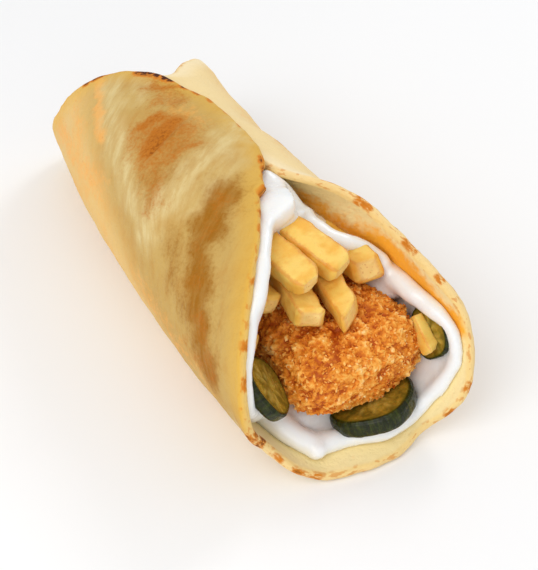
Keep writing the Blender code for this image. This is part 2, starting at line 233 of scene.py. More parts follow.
def put(tree, kind, inputs=None, **settings):
    item = tree.nodes.new(kind)
    for key, value in settings.items():
        setattr(item, key, value)
    for key, value in (inputs or {}).items():
        if isinstance(value, bpy.types.NodeSocket):
            tree.links.new(value, item.inputs[key])
        else:
            item.inputs[key].default_value = value
    return item


def calc(tree, operation, a, b):
    return put(tree, "ShaderNodeMath", {0: a, 1: b}, operation=operation).outputs[0]


def times(tree, a, b):
    return calc(tree, "MULTIPLY", a, b)


def plus(tree, a, b):
    return calc(tree, "ADD", a, b)


def minus(tree, a, b):
    return calc(tree, "SUBTRACT", a, b)


def cover(tree, colour, *layers):
    # lay each (mask, tint) over the colour so far
    for mask, tint in layers:
        colour = put(tree, "ShaderNodeMix", {0: mask, 6: colour, 7: tint}, data_type="RGBA").outputs[2]
    return colour


def field(tree, name, kind="Fac"):
    return put(tree, "ShaderNodeAttribute", attribute_name=name).outputs[kind]


def objectPlace(tree):
    return put(tree, "ShaderNodeTexCoord").outputs["Object"]


def srgb(*shades):
    linear = [c / 255 / 12.92 if c / 255 <= 0.04045 else ((c / 255 + 0.055) / 1.055)**2.4 for c in shades]
    return (*linear, 1)


def spread(tree, value, low, high, toLow=0.0, toHigh=1.0):
    return put(tree, "ShaderNodeMapRange", {0: value, 1: low, 2: high, 3: toLow, 4: toHigh},
               interpolation_type="SMOOTHSTEP").outputs[0]


def cloud(tree, vector, size, detail=3.0, rough=0.55):
    # size is a number, or an input of the group that holds it
    scale = calc(tree, "DIVIDE", 1.0, size) if isinstance(size, bpy.types.NodeSocket) else 1 / size
    return put(tree, "ShaderNodeTexNoise", {"Vector": vector, "Scale": scale, "Detail": detail,
                                            "Roughness": rough}).outputs[0]


def newGroup(name, ins, outs):
    # ins are labels with a start value, or None for a place
    group = bpy.data.node_groups.new(name, "ShaderNodeTree")
    for label, value in ins.items():
        kind = "NodeSocketVector" if value is None else "NodeSocketFloat"
        socket = group.interface.new_socket(label, in_out="INPUT", socket_type=kind)
        if value is not None:
            socket.default_value = value
    for label in outs:
        group.interface.new_socket(label, in_out="OUTPUT", socket_type="NodeSocketFloat")
    return group, group.nodes.new("NodeGroupInput").outputs, group.nodes.new("NodeGroupOutput")


def makeBrowning():
    # a broad mask broken up into the uneven edge and pores of toasted or fried surfaces
    group, ins, out = newGroup("browning", {"Vector": None, "Share": 0.5, "Patch Size": 4.0,
                                            "Pore Size": 0.8, "Break Up": 0.5}, ("Mask", "Pores"))
    patches = cloud(group, ins["Vector"], ins["Patch Size"], 4.0, 0.6)
    pores = spread(group, cloud(group, ins["Vector"], ins["Pore Size"], 2.0, 0.6), 0.42, 0.66)
    offset = times(group, minus(group, patches, 0.5), ins["Break Up"])
    softened = plus(group, ins["Share"], times(group, offset, 2.0))
    pitted = times(group, minus(group, pores, 0.4), ins["Break Up"])
    whole = plus(group, softened, times(group, pitted, 0.5))
    group.links.new(spread(group, whole, 0.15, 0.95), out.inputs["Mask"])
    group.links.new(pores, out.inputs["Pores"])
    return group


def makeGrain():
    # small relief: soft lumps with pits between them
    group, ins, out = newGroup("foodGrain", {"Vector": None, "Size": 1.0, "Pits": 0.3}, ("Height",))
    lumps = cloud(group, ins["Vector"], ins["Size"], 4.0)
    cells = put(group, "ShaderNodeTexVoronoi", {"Vector": ins["Vector"],
                                                "Scale": calc(group, "DIVIDE", 0.8, ins["Size"])})
    pits = spread(group, cells.outputs["Distance"], 0.0, 0.35)
    pitted = times(group, minus(group, pits, 1.0), ins["Pits"])
    group.links.new(plus(group, lumps, pitted), out.inputs["Height"])
    return group


browning, foodGrain = makeBrowning(), makeGrain()


def browned(tree, vector, share, patch, pore, breakUp):
    return put(tree, "ShaderNodeGroup", {"Vector": vector, "Share": share, "Patch Size": patch,
                                         "Pore Size": pore, "Break Up": breakUp},
               node_tree=browning).outputs


def grainOf(tree, vector, size, pits):
    return put(tree, "ShaderNodeGroup", {"Vector": vector, "Size": size, "Pits": pits},
               node_tree=foodGrain).outputs["Height"]


def newMaterial(name, **shaderValues):
    material = bpy.data.materials.new(name)
    material.use_nodes = True
    shader = material.node_tree.nodes["Principled BSDF"]
    for key, value in shaderValues.items():
        shader.inputs[key.replace("_", " ")].default_value = value
    return material, material.node_tree, shader


def finishShader(tree, shader, colour, rough, height, depth):
    raised = put(tree, "ShaderNodeBump", {"Strength": 1.0, "Distance": depth * mm, "Height": height})
    for key, value in (("Base Color", colour), ("Roughness", rough), ("Normal", raised.outputs[0])):
        tree.links.new(value, shader.inputs[key])


def makeBreadMaterial():
    look = {
        "top": srgb(202, 166, 94), "side": srgb(236, 196, 122), "tan": srgb(192, 140, 66),
        "pale": srgb(226, 204, 146), "orange": srgb(250, 178, 88), "ochre": srgb(160, 104, 18),
        "yellow": srgb(236, 184, 66), "brown": srgb(190, 108, 16), "dark": srgb(134, 68, 8),
        "charred": srgb(78, 34, 8), "inside": srgb(252, 230, 170), "insideToastAndPaintedLight": srgb(252, 178, 56),
        "back": srgb(250, 224, 166), "lip": srgb(254, 234, 190), "toasted": srgb(216, 130, 34),
    }
    material, tree, shader = newMaterial("toasted_flatbread_crust", Roughness=0.65,
                                         Specular_IOR_Level=0.15)
    sheet = field(tree, "sheet", "Vector")
    brown, ochre, warm, pale, char, inner, edge = (
        field(tree, k) for k in ("brown", "ochre", "warm", "pale", "char", "inner", "edge"))
    parts = put(tree, "ShaderNodeSeparateXYZ", {0: sheet}).outputs
    across = parts[0]
    clouds = cloud(tree, sheet, 14.0, 4.0, 0.6)
    streaks = put(tree, "ShaderNodeMapping", {"Vector": sheet, "Rotation": (0, 0, 0.6),
                                              "Scale": (4.0, 1.0, 1.0)}, vector_type="TEXTURE")
    streak = cloud(tree, streaks.outputs[0], 2.6, 5.0, 0.65)
    # warm toast on the outer face; on the inner face this mask also carries painted light
    warmed = browned(tree, sheet, warm, 8.0, 2.0, 0.35)["Mask"]
    # the flap lay on the heat, the rest of the round is paler
    top = cover(tree, look["top"], (spread(tree, clouds, 0.42, 0.68, 0.0, 0.4), look["tan"]),
                (spread(tree, streak, 0.48, 0.72, 0.0, 0.45), look["tan"]))
    side = cover(tree, look["side"], (spread(tree, clouds, 0.45, 0.7, 0.0, 0.35), look["orange"]))
    slanted = minus(tree, across, times(tree, parts[1], 0.486))
    rimGlow = times(tree, spread(tree, edge, 1.5, 9.0, 0.45, 0.0), spread(tree, across, 44, 62, 1.0, 0.0))
    lip = times(tree, spread(tree, edge, 1.5, 9.0, 0.95, 0.0), spread(tree, across, 48, 68))
    # stroke by stroke: ochre, pale bands, brown with a deeper middle
    ochred = times(tree, browned(tree, sheet, ochre, 8.0, 1.2, 0.3)["Mask"],
                   spread(tree, streak, 0.3, 0.7, 0.75, 1.1))
    paled = times(tree, pale, spread(tree, streak, 0.35, 0.6, 1.0, 0.45))
    baked = browned(tree, sheet, brown, 5.0, 0.9, 0.4)
    deep = times(tree, spread(tree, brown, 0.7, 1.3),
                 times(tree, baked["Pores"], spread(tree, streak, 0.3, 0.65, 0.4, 1.2)))
    dots = spread(tree, cloud(tree, sheet, 1.7, 2.0, 0.5), 0.64, 0.76)
    dotted = times(tree, dots, spread(tree, plus(tree, warm, brown), 0.1, 0.7))
    # inner face: pale cream made lighter as painted light where the wall lies in shade, and an orange that is
    # partly toast and partly painted warm bounce light
    insideColour = cover(tree, look["inside"], (warmed, look["insideToastAndPaintedLight"]),
                         (times(tree, dots, 0.2), look["orange"]))
    # toasted rim: soft spots close to the edge, charred where it blistered
    rimSpots = spread(tree, cloud(tree, sheet, 2.8, 2.0, 0.5), 0.55, 0.64)
    nearRim = spread(tree, edge, 0.4, 2.0, 1.0, 0.0)
    uneven = times(tree, char, spread(tree, cloud(tree, sheet, 1.8, 2.0), 0.3, 0.6, 0.5, 1.3))
    colour = cover(
        tree, top, (spread(tree, slanted, 38, 60), side),
        (spread(tree, across, 150, 180), look["back"]), (times(tree, warmed, 0.8), look["orange"]),
        (rimGlow, look["yellow"]), (lip, look["lip"]), (ochred, look["ochre"]), (paled, look["pale"]),
        (times(tree, baked["Mask"], 0.9), look["brown"]), (times(tree, deep, 0.8), look["dark"]),
        (times(tree, dotted, 0.4), look["toasted"]), (inner, insideColour),
        (times(tree, nearRim, 0.4), look["yellow"]),
        (times(tree, nearRim, times(tree, rimSpots, 0.6)), look["toasted"]),
        (spread(tree, uneven, 0.15, 0.55), look["toasted"]),
        (spread(tree, uneven, 0.5, 1.1), look["charred"]))
    grain = plus(tree, grainOf(tree, sheet, 1.6, 0.25), times(tree, streak, 0.8))
    dull = spread(tree, plus(tree, clouds, times(tree, brown, 0.3)), 0.3, 0.9, 0.52, 0.72)
    finishShader(tree, shader, colour, dull, grain, 0.35)
    return material


def makeSauceMaterial():
    look = {"light": srgb(248, 249, 248), "shade": srgb(240, 242, 242)}
    material, tree, shader = newMaterial("white_sauce_gloss", Roughness=0.2, Coat_Weight=0.3,
                                         Coat_Roughness=0.08, Subsurface_Weight=0.25,
                                         Subsurface_Scale=0.004, Subsurface_Radius=(1.0, 0.9, 0.75))
    place = objectPlace(tree)
    colour = cover(tree, look["shade"], (cloud(tree, place, 12 * mm, 3.0, 0.5), look["light"]))
    shine = spread(tree, cloud(tree, place, 5 * mm), 0.3, 0.7, 0.16, 0.3)
    finishShader(tree, shader, colour, shine, grainOf(tree, place, 2.2 * mm, 0.0), 0.12)
    return material


def makeCrustMaterial():
    # deep is painted shade in the recesses, tip is a painted highlight on the tops of crags and crumbs
    look = {
        "deep": srgb(186, 84, 14), "brown": srgb(234, 140, 36), "gold": srgb(252, 184, 84),
        "tip": srgb(255, 224, 160),
    }
    material, tree, shader = newMaterial("fried_breading_crust", Roughness=0.6,
                                         Specular_IOR_Level=0.25)
    place = objectPlace(tree)
    patch = cloud(tree, place, 7 * mm, 3.0, 0.6)
    speck = cloud(tree, place, 0.9 * mm, 3.0, 0.65)
    # painted shade low down and painted highlight high up: the colour follows the height of the crags and
    # crumbs, with tone that differs at random
    level = field(tree, "high")
    for value, weight in ((speck, 0.9), (patch, 0.8), (field(tree, "tone"), 0.5)):
        level = plus(tree, level, times(tree, minus(tree, value, 0.5), weight))
    colour = cover(tree, look["deep"], (spread(tree, level, 0.0, 0.45), look["brown"]),
                   (spread(tree, level, 0.35, 0.75), look["gold"]),
                   (spread(tree, level, 0.64, 1.05), look["tip"]))
    rough = spread(tree, speck, 0.3, 0.7, 0.4, 0.7)
    finishShader(tree, shader, colour, rough, grainOf(tree, place, 0.6 * mm, 0.5), 0.25)
    return material


def makePotatoMaterial():
    look = {
        "flesh": srgb(248, 208, 106), "gold": srgb(242, 184, 72), "edge": srgb(218, 138, 42),
        "end": srgb(248, 216, 140), "spot": srgb(206, 126, 44),
    }
    material, tree, shader = newMaterial("fried_potato_gold", Roughness=0.4, Specular_IOR_Level=0.5,
                                         Subsurface_Weight=0.12, Subsurface_Scale=0.002)
    place = objectPlace(tree)
    end = field(tree, "end")
    broad = cloud(tree, place, 6 * mm)
    fried = browned(tree, place, field(tree, "corner"), 3 * mm, 0.6 * mm, 0.5)["Mask"]
    spots = spread(tree, cloud(tree, place, 0.9 * mm, 2.0, 0.5), 0.6, 0.72)
    colour = cover(tree, look["flesh"], (spread(tree, broad, 0.38, 0.64), look["gold"]),
                   (times(tree, fried, 0.6), look["edge"]), (times(tree, end, 0.7), look["end"]),
                   (times(tree, spots, spread(tree, end, 0.0, 1.0, 0.12, 0.55)), look["spot"]))
    rough = spread(tree, broad, 0.3, 0.7, 0.32, 0.5)
    finishShader(tree, shader, colour, rough, grainOf(tree, place, 1.3 * mm, 0.35), 0.18)
    return material


def makePickleMaterial():
    look = {
        "skin": srgb(26, 32, 3), "skinLight": srgb(54, 62, 9), "rind": srgb(84, 84, 16),
        "flesh": srgb(168, 136, 44), "fleshDeep": srgb(112, 94, 26), "seed": srgb(190, 162, 78),
    }
    material, tree, shader = newMaterial("pickled_cucumber_wet", Roughness=0.3, Coat_Weight=0.04,
                                         Coat_Roughness=0.05, Specular_IOR_Level=0.25,
                                         Subsurface_Weight=0.15, Subsurface_Scale=0.002)
    place = objectPlace(tree)
    patch = cloud(tree, place, 3 * mm, 3.0, 0.6)
    stretched = put(tree, "ShaderNodeMapping", {"Vector": field(tree, "slice", "Vector"),
                                                "Scale": (1.0, 0.2, 1.0)})
    lines = cloud(tree, stretched.outputs[0], 1.1, 3.0, 0.6)
    skinned = cover(tree, look["skin"], (spread(tree, lines, 0.4, 0.68), look["skinLight"]))
    colour = cover(tree, look["fleshDeep"], (spread(tree, patch, 0.35, 0.65), look["flesh"]),
                   (spread(tree, field(tree, "radial"), 0.78, 0.97, 0.0, 0.8), look["rind"]),
                   (times(tree, field(tree, "seeded"), 0.7), look["seed"]),
                   (field(tree, "skin"), skinned))
    rough = spread(tree, patch, 0.3, 0.7, 0.12, 0.3)
    finishShader(tree, shader, colour, rough, grainOf(tree, place, 1.1 * mm, 0.3), 0.25)
    return material


breadMaterial, sauceMaterial, crustMaterial = makeBreadMaterial(), makeSauceMaterial(), makeCrustMaterial()
potatoMaterial, pickleMaterial = makePotatoMaterial(), makePickleMaterial()
print("materials ready")

bread = {
    "thickness": 2.6,
    "foldGap": 0.8,              # between the flap and the layer under it
    "middle": (186, -8),
    "rim": (
        (-15, 1), (-9, 5.5), (-1, 11.5), (7, 19), (14, 25), (24, 32), (38, 40.5), (56, 49.5), (78, 57.5),
        (100, 59.5), (122, 58), (142, 63), (165, 67), (190, 69), (214, 67), (240, 70), (262, 67),
        (280, 61), (292, 54), (300, 42), (306, 30), (322, 17), (337, 6), (352, -8), (380, -18),
        (395, -38), (386, -58), (348, -55), (330, -62), (309, -68), (285, -74), (245, -86),
        (190, -91), (130, -90), (90, -83), (66, -77), (42, -69), (18, -63), (-3, -52), (-10, -40),
        (-18, -28), (-18, -9),
    ),
    "rimSteps": 560,
    "rings": 60,
    # where its inner face swells in beside the sauce: middle, half widths, height
    "padding": (((288, 8), (17, 18), 5.4), ((308, -6), (22, 12), 6.5)),
    "blisters": ((7.0, 0.22), (2.6, 0.12), (1.1, 0.05)),   # spacing and height
    "rimWaver": ((5.0, 0.35), (2.0, 0.12)),
    "rimSwell": ((6.0, 0.16), (2.2, 0.1)),       # of its thickness
    "markWaver": ((6.0, 3.0), (2.0, 0.9)),
    "insideRelief": 0.35,                        # share of the blisters that the inner face shows
    "highestBlister": 0.45,
    "restingTurns": (50, 30),                    # to each side of the underside
    "middleToRim": 60.0,
    # marks as (points of a line in turn and along, half width in millimetres, strength)
    "brown": (
        (((25, -28), (17, -26), (11, -20), (24, -16), (29, -22)), 8.0, 0.62),
        (((28, -22), (18, -24.5), (9, -26)), 4.2, 1.0), (((22, -31), (13, -30)), 3.4, 0.95),
        (((28, -21), (20, -23.6), (14, -25)), 1.8, 1.35), (((22, -15), (10, -14)), 3.2, 0.6),
        (((33, -14), (39, -9), (42, -5)), 5.0, 0.5), (((6, -46.5), (0, -42.5)), 3.4, 0.75),
        (((8, -38), (-2, -35)), 4.4, 0.5), (((15, 8), (24, 11)), 3.0, 0.42),
        (((30, 13), (40, 16)), 2.6, 0.4), (((44, 21.5), (58, 24)), 2.8, 0.35),
        (((64, 30), (71, 36.5), (77, 41), (84, 42)), 4.2, 0.45), (((84, 28), (88, 36)), 4.4, 0.4),
        (((97, 56), (108, 57), (119, 55.5)), 2.6, 0.5),
        (((150, -45), (158, -30)), 7.0, 0.9), (((122, 8), (130, 24)), 5.0, 0.6),
        (((205, -5), (214, 12)), 8.0, 0.9), (((240, -52), (246, -40)), 6.0, 0.8),
        (((262, 18), (270, 34)), 6.0, 0.7), (((296, -26), (301, -14)), 5.0, 0.6),
        (((180, 42), (186, 50)), 5.0, 0.6), (((110, -66), (104, -58)), 5.0, 0.5),
    ),
    "ochre": (
        (((13, 7), (25, 11), (32, 14), (39, 17), (50, 22.5), (60, 27), (70, 35), (84, 41)), 6.6, 0.95),
        (((49, 7), (59, 13), (67, 21), (75, 29)), 5.5, 0.55), (((20, -26), (16, -16), (38, -8)), 10.0, 0.5),
        (((6, -44), (0, -36)), 7.0, 0.45), (((3, 6), (12, 16)), 5.0, 0.3),
    ),
    "warm": (
        (((26.5, -63), (32, -54), (38, -46.5), (45, -40.5)), 2.3, 1.0),
        (((74, -72), (76, -59), (70, -44), (66, -34)), 7.0, 0.6),
        (((49, -62), (59, -52)), 5.0, 0.5), (((88, 0), (94, 20), (96, 40)), 6.0, 0.45),
        (((2, -40), (0, -20)), 4.0, 0.4),
        (((140, -60), (170, -20), (200, 30)), 14.0, 0.4), (((250, -60), (285, 20)), 10.0, 0.45),
        (((300, -50), (310, -10)), 8.0, 0.3),
    ),
    # orange on the inner face: partly toast, partly painted light that brightens the shaded wall and stands
    # in for warm bounce from the filling
    "toastAndPaintedLightInside": (
        (((292, 22), (286, 36), (280, 48), (272, 58)), 5.6, 1.2),
        (((314, -4), (304, 4), (295, 16)), 6.0, 0.8),
    ),
    "pale": (
        (((22, -57), (30, -46), (39, -36), (45, -24), (53, -10), (57, 0)), 4.2, 0.9),
        (((-25, -17), (-10, -11), (3.5, -7.5), (14.5, -4.5), (30, -2.5), (45, -2), (61, -4)), 4.4, 0.9),
        (((-6, -3), (6.5, 1), (21.5, 4.5), (35, 5)), 2.4, 0.5), (((9, -52), (16, -42)), 2.6, 0.5),
        (((124, 34), (117, 48)), 3.5, 0.6), (((100, 54), (116, 56)), 3.0, 0.5),
    ),
    "char": (
        (((18, -63), (35, -66)), 0.9, 0.8), (((5, -55.5), (-1, -51.5), (-6, -46)), 2.1, 1.1),
        (((-8, -41), (-9, -39.5)), 1.3, 0.9), (((-12, -37), (-12, -35)), 1.1, 0.7),
        (((-15, -31), (-15, -30)), 1.0, 0.7), (((-18, -25), (-18, -23)), 1.0, 0.6),
        (((-18.5, -17), (-18, -15)), 1.0, 0.6), (((-13, 0.5), (-12, 2)), 1.0, 0.8),
        (((-11, 4), (-9, 6)), 1.0, 0.8), (((-2, 11), (0, 13)), 1.1, 0.7), (((6, 18.5), (8, 20)), 1.0, 0.6),
        (((12, 23.5), (14, 25)), 0.9, 0.5), (((31, 37), (33, 38)), 0.9, 0.5),
        (((54, 49), (57, 50)), 0.9, 0.5), (((68, 55), (72, 56.5)), 1.1, 0.6),
        (((192, 70), (199, 70)), 1.0, 0.7), (((214, 68.5), (219, 69)), 0.9, 0.6),
        (((170, 69), (176, 69.5)), 1.1, 0.8), (((140, 63.5), (146, 65)), 1.3, 0.9),
        (((100, 58.6), (106, 59)), 1.0, 0.7), (((112, 58), (117, 57.6)), 1.3, 0.75),
        (((128, 60), (132, 61)), 1.2, 0.7), (((150, 65), (154, 65.5)), 1.0, 0.6),
        (((228, 69), (232, 69.5)), 0.9, 0.6), (((246, 69.6), (250, 69.3)), 0.9, 0.55),
        (((316, 21), (312, 25)), 1.0, 0.5),
        (((303, 37), (301, 41)), 1.1, 0.6), (((296, 50), (294, 52)), 0.9, 0.5),
    ),
    "creases": (
        (((2, -25.5), (16, -22), (29, -19.5)), 0.9, -0.5),
        (((2, -23.6), (16, -20.1), (29, -17.6)), 1.2, 0.45),
    ),
}


def strokes(turn, along, marks):
    # strongest of a set of soft lines at each place on the unrolled bread
    place = np.stack([turn * perTurn, along], -1)
    total = np.zeros(len(place))
    for line, halfWidth, strength in marks:
        ends = np.array(line, float) * (perTurn, 1)
        nearest = np.full(len(place), 1e9)
        for a, b in zip(ends[:-1], ends[1:]):
            t = np.clip(((place - a) @ (b - a)) / ((b - a) @ (b - a)), 0, 1)
            nearest = np.minimum(nearest, np.linalg.norm(place - a - t[:, None] * (b - a), axis=1))
        value = strength * np.exp(-(nearest / halfWidth)**2)
        total = np.where(np.abs(value) > np.abs(total), value, total)
    return total


def makeBread():
    count, thick = bread["rimSteps"], bread["thickness"]
    rim = closedCurve([(t * perTurn, s) for t, s in bread["rim"]], count)
    middle = np.array(bread["middle"]) * (perTurn, 1)
    reach = np.linalg.norm(rim - middle, axis=1)
    away = (rim - middle) / reach[:, None]
    around = np.column_stack([rim, np.zeros(count)])
    reach = reach + roughness(around, bread["rimWaver"])
    half = thick / 2 * (1 + roughness(around, bread["rimSwell"], 40.0))
    f = np.arange(1, bread["rings"] + 1) / bread["rings"]
    # rings from the outer face's middle round the rim to the inner face's middle: distance
    # from the middle, depth, distance to the rim, and 0 on the outer face to 1 on the inner
    flats = [share * (reach - half) for share in 1.45 * f - 0.45 * f * f]
    rings = [(flat, 0, reach - flat, 0) for flat in flats]
    for angle in (65, 40, 20, 0, -20, -40, -65):
        cut = half * (1 - np.cos(np.radians(angle)))
        rings.append((reach - cut, thick / 2 - half * np.sin(np.radians(angle)), cut, 0.5 - angle / 130))
    rings += [(flat, thick, reach - flat, 1) for flat in flats[::-1]]
    rows = []
    for distance, *others in rings:
        spot = middle + away * distance[:, None]
        rows.append((spot[:, 0] / perTurn, spot[:, 1], *others))
    ends = [(*bread["middle"], depth, bread["middleToRim"], face) for depth, face in ((0, 0), (thick, 1))]
    turn, along, depth, edge, inner = overRings(rows, ends, count)
    sheet = np.column_stack([turn * perTurn, along, depth * 3])
    # blisters and creases push both faces outward; the underside stays flat where it rests
    lumps = roughness(sheet, bread["blisters"]) + strokes(turn, along, bread["creases"])
    resting = ease(*bread["restingTurns"], np.abs(turn - 180)) * (1 - inner)
    outward = np.where(inner > 0.5, bread["insideRelief"], 1.0) * lumps * (1 - resting)
    outward = np.where(inner < 0.5, np.minimum(outward, bread["highestBlister"]), outward)
    padded = humps(turn, along, bread["padding"]) * inner * ease(1, 9, edge)
    points = rollPoint(turn, along, depth - outward + padded)
    drawn = ((sheet[:, 0] + roughness(sheet, bread["markWaver"], 5.0)) / perTurn,
             along + roughness(sheet, bread["markWaver"], 9.0))
    marks = {key: strokes(*drawn, bread[key]) * (1 - inner) for key in ("brown", "ochre", "pale", "warm")}
    # the inner face takes these strokes of toast and painted light
    marks["warm"] += strokes(*drawn, bread["toastAndPaintedLightInside"]) * inner
    marks["char"] = strokes(turn, along, bread["char"])
    piece = makePiece("toasted_bread", points, ringFaces(len(rows), count), breadMaterial,
                      sheet=sheet, inner=inner, edge=edge, **marks)
    register(piece, "toasted_flatbread", "flatbread")


makeBread()

chicken = {
    "stations": (-76, -50, -10, 20, 40, 58),
    "x": (2.0, 1.5, 1.6, 2.6, 4.2, 4.8),
    "z": (20.5, 20.0, 19.8, 20.0, 20.4, 21.2),
    "halfWidths": (13.0, 15.0, 16.5, 17.5, 18.4, 18.4),
    "halfHeights": (9.5, 10.5, 11.0, 11.2, 11.2, 11.0),
    "squareness": 2.45,
    "end": 9,                    # length of its rounded ends
    "endFullness": 0.75,
    "relief": 1.1,
    "crags": ((4.2, 1.3), (2.0, 0.8)),                   # spacing and height of the large crags
    "fine": ((2.6, 0.75), (1.3, 0.6), (0.7, 0.42)),      # and of the small ones
    "showsInMouth": (0, 8),      # along, from where the small crags and crumbs start
    "showsInTail": (-58, -64),
    "hiddenFrom": 10,            # behind this its rings are spaced out
    "sides": 330,
    "step": 0.36,
    "rightFullness": 3.4,
}


def chickenPoint(angle, along, spreadOut=0.0):
    x, z, wide, high = (curveThrough(chicken["stations"], along, chicken[key])
                        for key in ("x", "z", "halfWidths", "halfHeights"))
    own, power = np.radians(angle), chicken["squareness"]
    radius = (np.abs(np.sin(own) / wide)**power + np.abs(np.cos(own) / high)**power)**(-1 / power)
    return x, z, radius + spreadOut, -np.sin(own), np.cos(own)


def makeChicken():
    first, last, end = chicken["stations"][0], chicken["stations"][-1], chicken["end"]
    # rings as (along, share of the full girth): over the front end, back, over the tail end
    a = np.radians(np.linspace(0.5, 90, 200))
    tip, girth = last - end * (1 - np.cos(a)), np.sin(a)**chicken["endFullness"]
    length = travelled(np.column_stack([tip, 15 * girth]))       # 15 is about its half width
    at = np.arange(0.4, length[-1], chicken["step"])
    rings = list(zip(np.interp(at, length, tip), np.interp(at, length, girth)))
    step, along = chicken["step"], last - end
    while along > first + end + 3:
        rings.append((along, 1.0))
        step = step if along > chicken["hiddenFrom"] else step * 1.12
        along -= step
    for a in np.radians(np.linspace(90, 5, 26)):
        rings.append((first + end * (1 - np.cos(a)), np.sin(a)**chicken["endFullness"]))
    count = chicken["sides"]
    along, share = (np.repeat(values, count) for values in np.array(rings).T)
    angles = np.tile(np.arange(count) * 360 / count, len(rings))
    x, z, radius, sine, cosine = chickenPoint(angles, along)
    outline = np.column_stack([x + radius * share * sine, -along, z + radius * share * cosine])
    away = np.column_stack([sine * share, share - 1, cosine * share])
    # fuller on the right, where it leans out over the sauce
    full = np.clip(away[:, 0], 0, 1)**1.5 * ease(20, 40, along)
    outline = outline + away * (chicken["rightFullness"] * full)[:, None]
    crag = np.clip(roughness(outline, chicken["crags"]), -1, 1) * chicken["relief"]
    shown = np.maximum(ease(*chicken["showsInMouth"], along), ease(*chicken["showsInTail"], along))
    small = roughness(outline, chicken["fine"], 3.0) * shown
    ends = np.array((last, first))
    x, z, *_ = chickenPoint(0, ends)
    points = np.vstack([outline + away * (crag + small)[:, None], np.column_stack([x, -ends, z])])
    # height of the crags, which the crust colour turns into painted shade low down and a painted highlight on
    # top
    high = 0.38 + 0.25 * crag / chicken["relief"] + 0.5 * small
    piece = makePiece("chicken_crust", points, ringFaces(len(rings), count), crustMaterial,
                      high=np.append(high, (0.5, 0.5)), crumbs=np.append(shown, (1, 1)),
                      tone=np.full(len(points), 0.45))
    register(piece, "fried_breading", "breaded_chicken")
    return piece


crust = makeChicken()

crumbs = {
    "spacing": 0.55,             # least distance between two crumbs, in millimetres
    "density": 2.4,              # most to a square millimetre
    "smallest": 0.35,            # half lengths of a crumb
    "largest": 1.1,
    "clumpSize": 3.4,
    "clumping": (0.44, 0.56, 0.25, 1.0),     # a noise from and to, and the share there
    "mostlySmall": 2.2,
    "tilt": 0.9,
    "shapes": 7,
    "seed": 4,
}


def crumbShapes():
    # small irregular flakes, in a collection that is thrown away afterwards
    holder = bpy.data.collections.new("crumb shapes")
    for k in range(crumbs["shapes"]):
        work = bmesh.new()
        bmesh.ops.create_icosphere(work, subdivisions=1, radius=1.0)
        flat = (1.0, 0.4 + 0.35 * (k % 3) / 2, 0.4 + 0.3 * (k % 2))
        for v in work.verts:
            broad = noise.noise(v.co * 1.6 + Vector((k * 3.1, 7.0, 0)))
            fine = noise.noise(v.co * 3.7 + Vector((0, k * 5.3, 2.0)))
            v.co = Vector(c * s * (1 + 0.9 * broad + 0.6 * fine) for c, s in zip(v.co, flat))
        mesh = bpy.data.meshes.new("crumb")
        work.to_mesh(mesh)
        work.free()
        # height in the crumb, for painted shade at its base and a painted highlight at its tip
        tip = np.array([v.co.z for v in mesh.vertices])
        layer = mesh.attributes.new("high", "FLOAT", "POINT")
        layer.data.foreach_set("value", (0.42 + 0.4 * tip).astype(np.float32))
        holder.objects.link(bpy.data.objects.new("crumb", mesh))
    return holder


